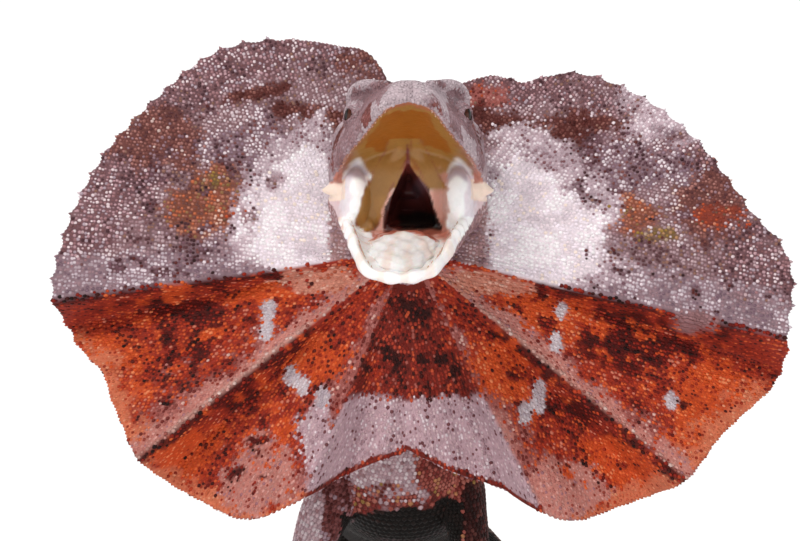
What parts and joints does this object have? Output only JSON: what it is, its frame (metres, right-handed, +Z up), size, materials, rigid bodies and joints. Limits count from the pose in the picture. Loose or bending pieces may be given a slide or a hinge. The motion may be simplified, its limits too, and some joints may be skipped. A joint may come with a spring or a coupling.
{
  "type": "frilled lizard",
  "caption": "Still, life-size frilled lizard standing on its hands and feet, mouth wide open and pleated frill spread round the head.",
  "frame": {"origin": "middle of the bounding box at floor level, under the belly", "axes": "+Z up, the lizard faces -Y and its tail runs towards +Y, its left side is +X"},
  "size_m": [0.2372, 0.7418, 0.2045],
  "materials": {
    "hide": "matt scaly skin, grey-mauve to brown",
    "frill_lobe": "matt scaly skin, grey-mauve with pale pink and dark dots",
    "frill_pleat": "matt scaly skin, orange-red with dark red blotches",
    "mouth": "moist smooth lining, golden brown, pink and white",
    "tongue": "moist, pink",
    "eye": "glossy, dark with a brown iris",
    "claw": "smooth dark horn",
    "tooth": "glossy, ivory"
  },
  "bodies": {
    "root": {"eye_left": "eye", "eye_right": "eye", "foot_left": "hide", "foot_right": "hide", "forearm_left": "hide", "forearm_right": "hide", "frill_lobe_left": "frill_lobe", "frill_lobe_right": "frill_lobe", "frill_pleats_left": "frill_pleat", "frill_pleats_right": "frill_pleat", "frill_throat": "frill_pleat", "hand_left": "hide", "hand_right": "hide", "head": "hide", "hips": "hide", "lower_jaw": "hide", "mouth_lining": "mouth", "neck": "hide", "shin_left": "hide", "shin_right": "hide", "shoulders": "hide", "tail_1": "hide", "tail_2": "hide", "tail_3": "hide", "tail_4": "hide", "tail_5": "hide", "thigh_left": "hide", "thigh_right": "hide", "tongue": "tongue", "trunk": "hide", "upper_arm_left": "hide", "upper_arm_right": "hide"}
  },
  "joints": []
}
